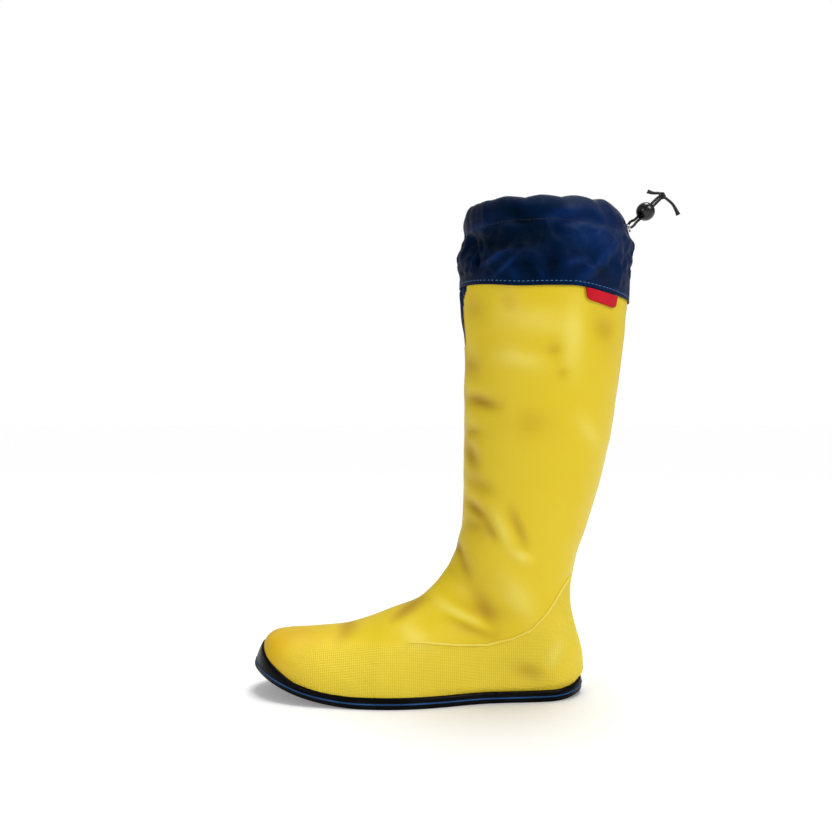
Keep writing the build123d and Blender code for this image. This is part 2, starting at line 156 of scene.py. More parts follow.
def spline(a, b, c, d, t):
    """Catmull-Rom between b and c."""
    return 0.5 * (2 * b + (c - a) * t + (2 * a - 5 * b + 4 * c - d) * t * t + (3 * b - a - 3 * c + d) * t**3)


def flat_cut(cut):
    return (*cut.front, *cut.back, cut.middle, cut.half_width, cut.centre, cut.front_power, cut.back_power)


ROWS = [flat_cut(cut) for cut in CUTS]


def row_at(station):
    i = min(int(station), len(ROWS) - 2)
    t = station - i
    around = [ROWS[max(0, min(len(ROWS) - 1, i + k))] for k in (-1, 0, 1, 2)]
    return [spline(*values, t) for values in zip(*around)]


def body_point(station, turn, grow=0.0):
    """A point of the boot's outer surface, in metres. Turn 0 is the front, pi the back, -y between."""
    fx, fz, bx, bz, middle, half, centre, front_power, back_power = row_at(station)
    length = math.hypot(bx - fx, bz - fz)
    ax, az = (bx - fx) / length, (bz - fz) / length
    grow = grow / MM
    cos, sin = math.cos(turn), -math.sin(turn)
    if cos > 0:
        reach = -signed_power(cos, front_power) * (length * centre + grow)
        exponent = front_power
    else:
        reach = -signed_power(cos, back_power) * (length * (1 - centre) + grow)
        exponent = back_power
    side = signed_power(sin, exponent) * (half + grow)
    x = fx + ax * (length * centre + reach)
    z = fz + az * (length * centre + reach)
    return Vector((x * MM, (middle + side) * MM, z * MM))


def station_at_height(z):
    """The station of the level cut at a height on the shaft or cuff."""
    z = z / MM
    for i in range(FIRST_SHAFT_CUT, len(CUTS) - 1):
        low, high = CUTS[i].front[1], CUTS[i + 1].front[1]
        if z <= high or i == len(CUTS) - 2:
            return i + (z - low) / (high - low)


def seam_height(x):
    """The seam's height in metres at x."""
    x = x / MM
    for (x0, z0), (x1, z1) in zip(SEAM, SEAM[1:]):
        if x <= x1:
            t = (x - x0) / (x1 - x0)
            return (z0 + (z1 - z0) * t) * MM
    return SEAM[-1][1] * MM


def ground_line(x):
    if x < FLAT_FROM:
        return TOE_SPRING_R - math.sqrt(TOE_SPRING_R**2 - (FLAT_FROM - x) ** 2)
    if x > FLAT_TO:
        return HEEL_ROLL_R - math.sqrt(HEEL_ROLL_R**2 - (x - FLAT_TO) ** 2)
    return 0.0


def band_top(x):
    rise = 9 * MM * max(0, (-0.060 - x) / 0.0646) ** 2
    return ground_line(x) + BAND_HEIGHT + rise


def deselect():
    if bpy.context.mode != "OBJECT":
        bpy.ops.object.mode_set(mode="OBJECT")
    bpy.ops.object.select_all(action="DESELECT")


def pick(piece):
    deselect()
    bpy.context.view_layer.objects.active = piece
    piece.select_set(True)


def apply_modifier(piece, kind, **settings):
    pick(piece)
    modifier = piece.modifiers.new(kind.lower(), kind)
    for name, value in settings.items():
        setattr(modifier, name, value)
    bpy.ops.object.modifier_apply(modifier=modifier.name)


def settle(piece):
    """Puts the piece's place into its mesh."""
    pick(piece)
    bpy.ops.object.transform_apply(location=True, rotation=True, scale=True)


def face_outwards(piece):
    pick(piece)
    bpy.ops.object.mode_set(mode="EDIT")
    bpy.ops.mesh.select_all(action="SELECT")
    bpy.ops.mesh.remove_doubles(threshold=1e-6)
    bpy.ops.mesh.normals_make_consistent(inside=False)
    bpy.ops.object.mode_set(mode="OBJECT")


def rolled_grid(name, around, along, place):
    """A flat grid whose points are carried to place(u, v), each from 0 to 1, and whose meeting edges join."""
    deselect()
    bpy.ops.mesh.primitive_grid_add(x_subdivisions=around, y_subdivisions=along, size=1)
    piece = bpy.context.object
    piece.name = name
    uv = piece.data.uv_layers.active.data
    for loop in piece.data.loops:
        corner = piece.data.vertices[loop.vertex_index].co
        uv[loop.index].uv = (corner.x + 0.5, corner.y + 0.5)
    for vertex in piece.data.vertices:
        vertex.co = place(vertex.co.x + 0.5, vertex.co.y + 0.5)
    pick(piece)
    bpy.ops.object.mode_set(mode="EDIT")
    bpy.ops.mesh.select_all(action="SELECT")
    bpy.ops.mesh.remove_doubles(threshold=1e-6)
    bpy.ops.object.mode_set(mode="OBJECT")
    bpy.ops.object.shade_smooth()
    return piece


def point_attribute(piece, name, function):
    layer = piece.data.attributes.new(name, "FLOAT", "POINT")
    for vertex, item in zip(piece.data.vertices, layer.data):
        item.value = function(vertex.co)


def surface_of(piece):
    mesh = piece.data
    return BVHTree.FromPolygons([v.co[:] for v in mesh.vertices], [p.vertices[:] for p in mesh.polygons])


def on_side(tree, x, z, side=-1):
    """The point of a surface seen at x, z from one side, and the surface's normal there."""
    hit, normal, _, _ = tree.ray_cast(Vector((x, 0.3 * side, z)), Vector((0, -side, 0)))
    if hit is None:
        hit, normal, _, _ = tree.find_nearest(Vector((x, 0.05 * side, z)))
    if normal.y * side < 0:
        normal = -normal
    return hit, normal


# ---- materials ----
def new_material(name, colour, roughness, **sockets):
    material = bpy.data.materials.new(name)
    material.use_nodes = True
    shader = material.node_tree.nodes["Principled BSDF"]
    shader.inputs["Base Color"].default_value = (*colour, 1)
    shader.inputs["Roughness"].default_value = roughness
    for socket, value in sockets.items():
        shader.inputs[socket.replace("_", " ")].default_value = value
    return material, material.node_tree, shader


def add(tree, kind, **values):
    node = tree.nodes.new(kind)
    for name, value in values.items():
        if name in node.inputs:
            node.inputs[name].default_value = value
        else:
            setattr(node, name, value)
    return node


def math_node(tree, operation, a, b=None, c=None, clamp=False):
    node = add(tree, "ShaderNodeMath", operation=operation, use_clamp=clamp)
    for socket, value in zip(node.inputs, (a, b, c)):
        if isinstance(value, bpy.types.NodeSocket):
            tree.links.new(value, socket)
        elif value is not None:
            socket.default_value = value
    return node.outputs[0]


def colour_ramp(tree, source, stops):
    ramp = add(tree, "ShaderNodeValToRGB")
    while len(ramp.color_ramp.elements) < len(stops):
        ramp.color_ramp.elements.new(0.5)
    for element, (place, colour) in zip(ramp.color_ramp.elements, stops):
        element.position = place
        element.color = (*colour, 1)
    tree.links.new(source, ramp.inputs[0])
    return ramp.outputs[0]


def noise_value(tree, scale, detail=2.0, vector=None):
    node = add(tree, "ShaderNodeTexNoise", Scale=scale, Detail=detail)
    if vector is None:
        vector = add(tree, "ShaderNodeTexCoord").outputs["Object"]
    tree.links.new(vector, node.inputs["Vector"])
    return node.outputs["Fac"]


def ripple(tree, source, pitch):
    """A cosine wave of one pitch along a length in metres, from 0 to 1."""
    turn = math_node(tree, "MULTIPLY", source, 2 * math.pi / pitch)
    return math_node(tree, "MULTIPLY_ADD", math_node(tree, "COSINE", turn), 0.5)


def bump(tree, shader, height, strength, distance):
    node = add(tree, "ShaderNodeBump", Strength=strength, Distance=distance)
    tree.links.new(height, node.inputs["Height"])
    tree.links.new(node.outputs[0], shader.inputs["Normal"])
    return node


def blend_colours(tree, factor, first, second):
    node = add(tree, "ShaderNodeMix", data_type="RGBA")
    tree.links.new(factor, node.inputs["Factor"])
    tree.links.new(first, node.inputs[6])
    if isinstance(second, tuple):
        node.inputs[7].default_value = (*second, 1)
    else:
        tree.links.new(second, node.inputs[7])
    return node.outputs[2]


def attribute(tree, name):
    return add(tree, "ShaderNodeAttribute", attribute_name=name).outputs["Fac"]


def yellow_rubber():
    material, tree, shader = new_material("yellow_rubber_skin", (0.7, 0.5, 0.03), 0.42)
    shader.inputs["Specular IOR Level"].default_value = 0.3
    shader.inputs["Subsurface Weight"].default_value = 0.12
    shader.inputs["Subsurface Radius"].default_value = (0.004, 0.0025, 0.0006)
    place = add(tree, "ShaderNodeTexCoord").outputs["Object"]
    height = add(tree, "ShaderNodeSeparateXYZ")
    tree.links.new(place, height.inputs[0])
    ribbed = attribute(tree, "ribbed")
    along = attribute(tree, "rib_along")
    shade = math_node(tree, "MULTIPLY_ADD", noise_value(tree, 22, 3), 0.5, 0.1)
    mix = math_node(tree, "ADD", shade, math_node(tree, "MULTIPLY", attribute(tree, "toe"), 0.4), clamp=True)
    stops = [(0.1, (0.70, 0.54, 0.016)), (0.5, (0.69, 0.50, 0.010)), (0.95, (0.58, 0.33, 0.003))]
    colour = colour_ramp(tree, mix, stops)
    colour = blend_colours(tree, math_node(tree, "MULTIPLY", ribbed, 0.5), colour, (0.84, 0.66, 0.05))
    # Painted shade darkens the rubber in its creases, and a painted highlight lightens it on its ridges.
    colour = blend_colours(tree, attribute(tree, "painted_shade"), colour, (0.38, 0.20, 0.003))
    colour = blend_colours(tree, attribute(tree, "painted_highlight"), colour, (0.82, 0.70, 0.13))
    tree.links.new(colour, shader.inputs["Base Color"])
    uprights = ripple(tree, along, 1.5 * MM)
    levels = ripple(tree, height.outputs["Z"], 1.05 * MM)
    waffle = math_node(tree, "MULTIPLY", math_node(tree, "ADD", uprights, levels), ribbed)
    grain = math_node(tree, "MULTIPLY", noise_value(tree, 900, 3), 0.35)
    bump(tree, shader, math_node(tree, "ADD", waffle, grain), 0.8, 0.0003)
    rough = math_node(tree, "MULTIPLY_ADD", noise_value(tree, 60, 3), 0.2, 0.3)
    rough = math_node(tree, "ADD", rough, math_node(tree, "MULTIPLY", ribbed, 0.2))
    tree.links.new(rough, shader.inputs["Roughness"])
    return material


def sole_rubber(name, colour, roughness):
    material, tree, shader = new_material(name, colour, roughness)
    shader.inputs["IOR"].default_value = 1.15
    rough = math_node(tree, "MULTIPLY_ADD", noise_value(tree, 140, 4), 0.25, roughness - 0.1)
    tree.links.new(rough, shader.inputs["Roughness"])
    bump(tree, shader, noise_value(tree, 420, 4), 0.3, 0.00012)
    dark = tuple(c * 0.7 for c in colour)
    light = tuple(min(1, c * 1.5 + 0.002) for c in colour)
    stops = [(0.35, dark), (0.7, light)]
    tree.links.new(colour_ramp(tree, noise_value(tree, 35, 3), stops), shader.inputs["Base Color"])
    return material


def nylon(name, colour, tint, pitch=0.45 * MM):
    """Fine plain-woven nylon: the threads follow the piece's own UV map, whose units are metres."""
    material, tree, shader = new_material(name, colour, 0.4)
    shader.inputs["Specular Tint"].default_value = (*tint, 1)
    shader.inputs["IOR"].default_value = 1.22
    shader.inputs["Specular IOR Level"].default_value = 0.9
    uv = add(tree, "ShaderNodeUVMap").outputs[0]
    split = add(tree, "ShaderNodeSeparateXYZ")
    tree.links.new(uv, split.inputs[0])
    warp = ripple(tree, split.outputs["X"], pitch)
    weft = ripple(tree, split.outputs["Y"], pitch)
    weave = math_node(tree, "MULTIPLY", warp, weft)
    bump(tree, shader, math_node(tree, "ADD", weave, noise_value(tree, 90, 4)), 0.5, 0.00025)
    lighter = tuple(min(1, c * 1.5 + 0.001) for c in colour)
    stops = [(0.3, colour), (0.75, lighter)]
    blotch = math_node(tree, "MULTIPLY_ADD", weave, 0.35, noise_value(tree, 40, 3))
    shade = colour_ramp(tree, blotch, stops)
    # Painted shade darkens the cloth where it lies in a hollow; a painted highlight brightens it on a crest.
    shade = blend_colours(tree, attribute(tree, "painted_shade"), shade, tuple(c * 0.12 for c in colour))
    bright = tuple(min(1, c * 3.4 + 0.003) for c in colour)
    shade = blend_colours(tree, attribute(tree, "painted_highlight"), shade, bright)
    tree.links.new(shade, shader.inputs["Base Color"])
    return material


def knit(name, colour):
    material, tree, shader = new_material(name, colour, 0.9, Sheen_Weight=0.3)
    cells = add(tree, "ShaderNodeTexVoronoi", Scale=1100)
    place = add(tree, "ShaderNodeTexCoord").outputs["Object"]
    tree.links.new(place, cells.inputs["Vector"])
    bump(tree, shader, cells.outputs["Distance"], 0.7, 0.0004)
    dark = tuple(c * 0.72 for c in colour)
    tree.links.new(colour_ramp(tree, cells.outputs["Distance"], [(0.1, colour), (0.9, dark)]),
                   shader.inputs["Base Color"])
    return material


def gloss_plastic():
    material, tree, shader = new_material("lock_black_plastic", (0.0015, 0.002, 0.003), 0.2)
    bump(tree, shader, noise_value(tree, 500, 3), 0.12, 0.0001)
    rough = math_node(tree, "MULTIPLY_ADD", noise_value(tree, 300, 3), 0.2, 0.15)
    tree.links.new(rough, shader.inputs["Roughness"])
    return material


def plated_metal(name, colour):
    material, tree, shader = new_material(name, colour, 0.3, Metallic=1.0)
    rough = math_node(tree, "MULTIPLY_ADD", noise_value(tree, 900, 4), 0.3, 0.15)
    tree.links.new(rough, shader.inputs["Roughness"])
    bump(tree, shader, noise_value(tree, 700, 3), 0.15, 0.00005)
    return material


def braided_cord():
    """A fine braid whose strands cross along the cord."""
    material, tree, shader = new_material("cord_black_braid", (0.003, 0.003, 0.004), 0.6, Sheen_Weight=0.03)
    cells = add(tree, "ShaderNodeTexVoronoi", Scale=1900)
    tree.links.new(add(tree, "ShaderNodeTexCoord").outputs["Object"], cells.inputs["Vector"])
    bump(tree, shader, cells.outputs["Distance"], 0.8, 0.0003)
    stops = [(0.1, (0.008, 0.008, 0.01)), (0.8, (0.0015, 0.0015, 0.002))]
    tree.links.new(colour_ramp(tree, cells.outputs["Distance"], stops), shader.inputs["Base Color"])
    return material


YELLOW = yellow_rubber()
BLACK_RUBBER = sole_rubber("sole_black_rubber", (0.0012, 0.0012, 0.0018), 0.3)
BLUE_RUBBER = sole_rubber("stripe_blue_rubber", (0.016, 0.065, 0.19), 0.35)
NAVY = nylon("cuff_navy_nylon", (0.0003, 0.0045, 0.026), (0.03, 0.3, 0.9))
RED = nylon("label_red_satin", (0.42, 0.002, 0.012), (1.0, 0.5, 0.5), 0.3 * MM)
LINING = knit("lining_pale_knit", (0.62, 0.62, 0.58))
INSOLE = knit("insole_dark_knit", (0.07, 0.08, 0.1))
BOARD = knit("insole_board_fibre", (0.45, 0.36, 0.24))
PLASTIC = gloss_plastic()
EYELET = plated_metal("eyelet_white_metal", (0.8, 0.8, 0.78))
STEEL = plated_metal("spring_steel_wire", (0.55, 0.55, 0.55))
CORD = braided_cord()
THREAD = knit("stitching_blue_thread", (0.06, 0.20, 0.46))
DARK_THREAD = knit("stitching_navy_thread", (0.002, 0.006, 0.02))


def finish_in(piece, material, body, replaced=()):
    piece.data.materials.clear()
    piece.data.materials.append(material)
    if body:
        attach(piece, body)
    if replaced:
        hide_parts(*replaced)


def dress(names, material):
    for name in names:
        node = NODES[name]
        for place in node.material_slots:
            place.material = material


# ---- the drawcord's free ends ----
ALONG = Vector((math.cos(CORD_TURN), 0, math.sin(CORD_TURN)))
ACROSS = Vector((-ALONG.z, 0, ALONG.x))


def on_cord(distance, side, y=0.0):
    """A point along the cord's straight stretch from the lock's middle, in millimetres."""
    point = Vector((LOCK_X, 0, LOCK_Z)) + ALONG * distance * MM + ACROSS * side * MM
    return point + Vector((0, y * MM, 0))


GAP = STRAND_GAP / MM
KNOT = KNOT_AT / MM
ROUTES = {
    "near": [
        Vector((163.2, -5.2, 354.6)) * MM, Vector((166.2, -5.1, 355.9)) * MM,
        Vector((168.8, -3.3, 359.6)) * MM, on_cord(-11, -GAP, -0.1), on_cord(-9.4, -GAP), on_cord(-4, -GAP),
        on_cord(4, -GAP, 0.1), on_cord(11, -GAP), on_cord(KNOT - 2.7, -GAP + 0.1, -0.1),
    ],
    "far": [
        Vector((161.4, 5.2, 357.4)) * MM, Vector((164.3, 5.1, 358.7)) * MM,
        Vector((165.6, 3.2, 361.3)) * MM, on_cord(-10.6, GAP, 0.1), on_cord(-9.2, GAP), on_cord(-4, GAP),
        on_cord(4, GAP, -0.1), on_cord(11, GAP), on_cord(KNOT - 2.7, GAP - 0.1, 0.1),
    ],
}
TAILS = {
    "near": [on_cord(KNOT, 0), Vector((195.4, -0.6, 376.4)) * MM, Vector((199.2, -1, 371.5)) * MM,
             Vector((201.6, -1.2, 365.6)) * MM],
    "far": [on_cord(KNOT, 0), Vector((188.2, 1.2, 383.2)) * MM, Vector((183, 1.4, 382.6)) * MM,
            Vector((178.6, 1.6, 384.4)) * MM],
}


def cord_curve(name, points, radii=None, closed=False):
    data = bpy.data.curves.new(name, "CURVE")
    data.dimensions = "3D"
    data.bevel_depth = CORD_R
    data.bevel_resolution = 5
    data.resolution_u = 10
    data.use_fill_caps = True
    line = data.splines.new("NURBS")
    line.points.add(len(points) - 1)
    for i, point in enumerate(points):
        line.points[i].co = (*point, 1)
        line.points[i].radius = radii[i] if radii else 1
    line.order_u = 3
    line.use_endpoint_u = not closed
    line.use_cyclic_u = closed
    piece = bpy.data.objects.new(name, data)
    bpy.context.collection.objects.link(piece)
    return piece


def curve_length(points):
    data = bpy.data.curves.new("measure", "CURVE")
    data.dimensions = "3D"
    data.resolution_u = 24
    line = data.splines.new("NURBS")
    line.points.add(len(points) - 1)
    for i, point in enumerate(points):
        line.points[i].co = (*point, 1)
    line.order_u = 3
    line.use_endpoint_u = True
    holder = bpy.data.objects.new("measure", data)
    mesh = bpy.data.meshes.new_from_object(holder)
    total = sum((a.co - b.co).length for a, b in zip(mesh.vertices, mesh.vertices[1:]))
    bpy.data.objects.remove(holder)
    return total


def smooth_tube(piece, radius):
    """Gives a curve its thickness and turns it into a smooth mesh."""
    piece.data.bevel_depth = radius
    pick(piece)
    bpy.ops.object.convert(target="MESH")
    bpy.ops.object.shade_smooth()
    return bpy.context.object


def make_knot():
    """An overhand knot pulled tight, as one closed turn of cord wound round itself."""
    centre = on_cord(KNOT, 0)
    points = []
    for i in range(KNOT_POINTS):
        turn = 2 * math.pi * i / KNOT_POINTS
        ring = 1.6 + 0.8 * math.cos(3 * turn)
        along = ALONG * (1.35 * math.sin(3 * turn)) * MM
        across = ACROSS * (ring * math.cos(2 * turn)) * MM
        points.append(centre + along + across + Vector((0, ring * math.sin(2 * turn) * MM, 0)))
    return cord_curve("cord_overhand_knot", points, closed=True)


def make_cords():
    knot = make_knot()
    finish_in(knot, CORD, "shaft", ["cord_knot"])
    for side, route in ROUTES.items():
        strand = cord_curve(f"cord_strand_{side}", route)
        finish_in(strand, CORD, "shaft", [f"drawcord_end_{side}"])
        tail = cord_curve(f"cord_tail_end_{side}", TAILS[side], radii=[1, 1, 1.05, 1.6])
        finish_in(tail, CORD, "shaft", [f"cord_tail_{side}"])
        length = round(curve_length(route), 4)
        tuple(route[0])


make_cords()


# ---- the yellow upper ----
def crease(point, start, end, width):
    """How much a point lies in a crease drawn from start to end, both (x, z) in millimetres."""
    px, pz = point.x / MM, point.z / MM
    dx, dz = end[0] - start[0], end[1] - start[1]
    t = ((px - start[0]) * dx + (pz - start[1]) * dz) / (dx * dx + dz * dz)
    t_in = clamp(t)
    distance = math.hypot(px - start[0] - dx * t_in, pz - start[1] - dz * t_in)
    ends = 0.35 + 0.65 * math.sin(math.pi * t_in)
    return bell(distance, width) * ends


# Creases as (start, end, width, depth), in millimetres; a negative depth is a ridge
CREASES = [
    ((38, 226), (59, 218), 4.6, 3.0), ((38, 202), (47, 198), 4.0, 1.8), ((39, 192), (44, 172), 4.6, 2.6),
    ((39, 166), (56, 155), 5.0, 1.6), ((38, 148), (51, 136), 3.8, 2.6), ((51, 136), (58, 120), 4.2, 2.0),
    ((40, 136), (46, 124), 6.0, 1.4), ((68, 144), (80, 116), 3.4, 1.9), ((30, 117), (34, 106), 3.0, 2.2),
    ((70, 206), (94, 205), 9.0, 0.9), ((55, 142), (68, 116), 4.5, -1.4), ((70, 112), (82, 106), 4.0, -1.7),
    ((118, 210), (134, 190), 5.5, -1.0), ((38, 258), (44, 243), 6.0, 1.6), ((58, 255), (92, 249), 6.0, -1.3),
    ((34, 107), (39, 90), 4.0, 1.8), ((44, 82), (58, 54), 6.5, 1.8), ((66, 92), (84, 62), 9.0, -1.2),
    ((-18, 59), (7, 74), 3.0, 3.0), ((-12, 68), (8, 79), 4.0, -1.2), ((-60, 46), (-45, 55), 4.5, 2.0),
    ((-12, 55), (8, 44), 6.0, -1.3), ((16, 72), (54, 54), 3.6, -2.0), ((24, 62), (58, 48), 4.5, 1.8),
    ((28, 70), (74, 64), 6.0, 0.8), ((72, 27), (94, 20), 6.0, 1.6), ((106, 46), (98, 26), 4.5, -1.2),
    ((60, 284), (110, 276), 9.0, -1.0), ((114, 292), (110, 240), 8.0, -1.3),
    ((98, 263), (100, 254), 6.0, 1.4), ((104, 246), (107, 238), 5.0, 1.4), ((133, 284), (142, 266), 9.0, 1.4),
    ((40, 300), (46, 284), 7.0, 1.2), ((64, 300), (70, 286), 6.0, 0.9),
]


def relief(point):
    """How deep the creases are at a point, in millimetres; negative on a ridge."""
    return sum(amount * crease(point, start, end, width) for start, end, width, amount in CREASES)


def wrinkled(point, outward):
    """Moves a point of the skin in and out by its creases and a slow swell."""
    depth = relief(point) if point.y < 0 else 0.8 * relief(point + Vector((0, 0, 0.004)))
    depth *= 0.2 + 0.8 * smooth(0.003, 0.018, abs(point.y))
    swell = noise.noise(point * 26) * 1.1 + noise.noise(point * 70 + Vector((4, 1, 7))) * 0.35
    fade = smooth(0.045, 0.085, point.z) * (1 - smooth(0.285, 0.302, point.z))
    low = band_top(point.x)
    foot = 0.35 * (1 - smooth(0.045, 0.085, point.z)) * smooth(low, low + 0.012, point.z)
    ridge = toe_ridge(point) * 0.45 + heel_ridge(point) * 0.3
    amount = (-depth * max(fade, 1.9 * foot) + swell * (fade * 0.9 + foot)) + ridge
    return point + outward * amount * MM


def toe_ridge(point):
    """The edge of the toe stiffener under the rubber: a soft step."""
    x, z = point.x / MM, point.z / MM
    edge = -27 - 31 * smooth(8, 27, z) - 0.25 * max(0, z - 25)
    return (1 - smooth(edge - 0.8, edge + 0.8, x)) * (1 - smooth(22, 40, z))


def heel_ridge(point):
    x, z = point.x / MM, point.z / MM
    edge = 98 + 19 * smooth(10, 44, z)
    return smooth(edge - 0.8, edge + 0.8, x) * (1 - smooth(36, 46, z))


def sole_wall(inset):
    """The sole's outline moved inwards, as an upright strip that points can be measured from."""
    count = len(SOLE_OUTLINE)
    ring = []
    for i in range(count):
        corners = [SOLE_OUTLINE[(i + k) % count] for k in (-1, 0, 1, 2)]
        for step in range(6):
            ring.append([spline(*values, step / 6) for values in zip(*corners)])
    points = []
    for i, (x, y) in enumerate(ring):
        before, after = ring[i - 1], ring[(i + 1) % len(ring)]
        run = Vector((after[0] - before[0], after[1] - before[1])).normalized()
        points.append(Vector((x * MM + run.y * inset, y * MM - run.x * inset, 0)))
    high = Vector((0, 0, 0.2))
    vertices = [p - high for p in points] + [p + high for p in points]
    total = len(points)
    faces = [(i, i + total, (i + 1) % total + total, (i + 1) % total) for i in range(total)]
    return BVHTree.FromPolygons(vertices, faces)


WALL = sole_wall(BAND_WALL + 0.25 * MM)


def tucked(point, depth):
    """Keeps the skin, or a layer so deep under it, inside the sole band and above the sole."""
    reach = (3.5 + 2.5 * smooth(0.075, 0.105, point.x)) * MM
    inward = 1 - smooth(band_top(point.x) - 0.3 * MM, band_top(point.x) + reach, point.z)
    moved = point.copy()
    if inward > 0:
        hit, normal, _, _ = WALL.find_nearest(Vector((point.x, point.y, 0)))
        inner = Vector((max(-0.08, min(0.09, point.x)), 0.0, 0))
        if (inner - hit).dot(normal) > 0:
            normal = -normal
        outside = (Vector((point.x, point.y, 0)) - hit).dot(normal) + depth
        if outside > 0:
            moved -= normal * outside * inward
    floor = ground_line(moved.x) + OUTSOLE
    if moved.z < floor:
        moved.z = floor
    return moved


def skin_place(top_station, grow):
    def place(u, v):
        turn = 2 * math.pi * u
        station = top_station * v**0.92
        point = body_point(station, turn, grow)
        outward = (body_point(station, turn, grow + 1 * MM) - point).normalized()
        return tucked(wrinkled(point, outward), -grow)

    return place


def rib_along(point):
    """Distance round the foot's outline, so that the upright ribs keep their pitch at the heel and toe."""
    if point.x > 0.095:
        return 0.095 + 0.031 * math.atan2(point.x - 0.095, abs(point.y) + 1e-5)
    if point.x < -0.075:
        return -0.075 - 0.045 * math.atan2(-0.075 - point.x, abs(point.y - 0.006) + 1e-5)
    return point.x


def ribbed(point):
    seam = seam_height(point.x)
    fade = 7 * MM * (1 - smooth(-0.03, 0.0, point.x))
    below = 1 - smooth(seam - 1.5 * MM - fade, seam + 0.5 * MM + fade, point.z)
    open_front = 1 - smooth(0.038, 0.052, point.z)
    front = 1 - smooth(-0.03, 0.0, point.x)
    toe = smooth(-0.112, -0.085, point.x) * (1 - front) + front * smooth(-0.112, -0.08, point.x)
    return below * (open_front * front + (1 - front)) * toe


def cap_toe(piece):
    """Closes the hole at the toe, which the band hides."""
    pick(piece)
    bpy.ops.object.mode_set(mode="EDIT")
    bpy.ops.mesh.select_all(action="DESELECT")
    mesh = bmesh.from_edit_mesh(piece.data)
    for vertex in mesh.verts:
        vertex.select = vertex.is_boundary and vertex.co.x < -0.1
    mesh.select_flush(True)
    bpy.ops.mesh.edge_face_add()
    bpy.ops.object.mode_set(mode="OBJECT")


def notch_distance(point):
    """How far a point at the shaft's front is outside the round-cornered opening there, in metres."""
    half_width = 0.0095 + 0.0075 * smooth(0.294, 0.308, point.z)
    half_height, corner = 0.050, 0.006
    side = abs(point.y) - (half_width - corner)
    level = abs(point.z - (NOTCH_BOTTOM + half_height)) - (half_height - corner)
    outside = math.hypot(max(side, 0), max(level, 0))
    return outside + min(max(side, level), 0) - corner


def cut_notch(piece):
    """Opens the front of the shaft: faces inside go, and the edge is drawn onto the outline."""
    pick(piece)
    bpy.ops.object.mode_set(mode="EDIT")
    bpy.ops.mesh.select_all(action="DESELECT")
    mesh = bmesh.from_edit_mesh(piece.data)
    step = 0.3 * MM
    for vertex in mesh.verts:
        if vertex.co.x > 0.075 or vertex.co.z < 0.25:
            continue
        away = notch_distance(vertex.co)
        if abs(away) < 1.3 * MM:
            aside = notch_distance(vertex.co + Vector((0, step, 0))) - away
            above = notch_distance(vertex.co + Vector((0, 0, step))) - away
            slope = Vector((0, aside, above)) / step
            if slope.length > 0.1:
                vertex.co -= slope.normalized() * away
    for face in mesh.faces:
        middle = face.calc_center_median()
        inside = middle.x < 0.075 and middle.z > 0.25 and notch_distance(middle) < -0.15 * MM
        face.select = inside
    bmesh.update_edit_mesh(piece.data)
    bpy.ops.mesh.delete(type="FACE")
    bpy.ops.object.mode_set(mode="OBJECT")


def make_upper():
    top = station_at_height(UPPER_TOP_Z)
    upper = rolled_grid("upper_yellow_skin", 150, 200, skin_place(top, 0))
    cap_toe(upper)
    face_outwards(upper)
    tree = surface_of(upper)
    cut_notch(upper)
    point_attribute(upper, "ribbed", ribbed)
    point_attribute(upper, "rib_along", rib_along)
    point_attribute(upper, "toe", lambda p: 1 - smooth(-0.095, -0.04, p.x))
    # Painted shade grows with the depth of the creases; a painted highlight grows on the ridges.
    point_attribute(upper, "painted_shade", lambda p: clamp(relief(p) * 0.30, 0.8))
    point_attribute(upper, "painted_highlight", lambda p: clamp(-relief(p) * 0.42, 0.7))
    apply_modifier(upper, "SOLIDIFY", thickness=RUBBER, offset=-1)
    pick(upper)
    bpy.ops.object.shade_smooth_by_angle(angle=math.radians(50))
    finish_in(upper, YELLOW, None, ["vamp", "galosh", "ankle_sleeve", "shaft_tube"])
    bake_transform(upper)
    return tree


SKIN = make_upper()


def make_lining():
    top = station_at_height(LINING_TOP_Z)
    lining = rolled_grid("lining_knit_sock", 96, 130, skin_place(top, -LINING_DEPTH - 0.3 * MM))
    cap_toe(lining)
    face_outwards(lining)
    apply_modifier(lining, "SOLIDIFY", thickness=LINING_WALL, offset=-1)
    finish_in(lining, LINING, None, ["foot_lining", "ankle_lining", "shaft_lining"])
    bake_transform(lining)


make_lining()


def make_stiffener(name, replaced, inside):
    """A stiff patch between the rubber and the lining, cut out of a deeper layer of the same skin."""
    piece = rolled_grid(name, 100, 120, skin_place(station_at_height(STIFFENER_TOP_Z), -RUBBER - 0.1 * MM))
    face_outwards(piece)
    pick(piece)
    bpy.ops.object.mode_set(mode="EDIT")
    mesh = bmesh.from_edit_mesh(piece.data)
    for face in mesh.faces:
        face.select = not inside(face.calc_center_median())
    bmesh.update_edit_mesh(piece.data)
    bpy.ops.mesh.delete(type="FACE")
    bpy.ops.object.mode_set(mode="OBJECT")
    apply_modifier(piece, "SOLIDIFY", thickness=STIFFENER_WALL, offset=-1)
    pick(piece)
    bpy.ops.object.shade_smooth()
    finish_in(piece, YELLOW, "foot", [replaced])


make_stiffener("toe_stiffener_patch", "toe_reinforcement", lambda p: toe_ridge(p) > 0.3 and p.x > -0.118)
make_stiffener("heel_stiffener_patch", "heel_reinforcement", lambda p: heel_ridge(p) > 0.3)


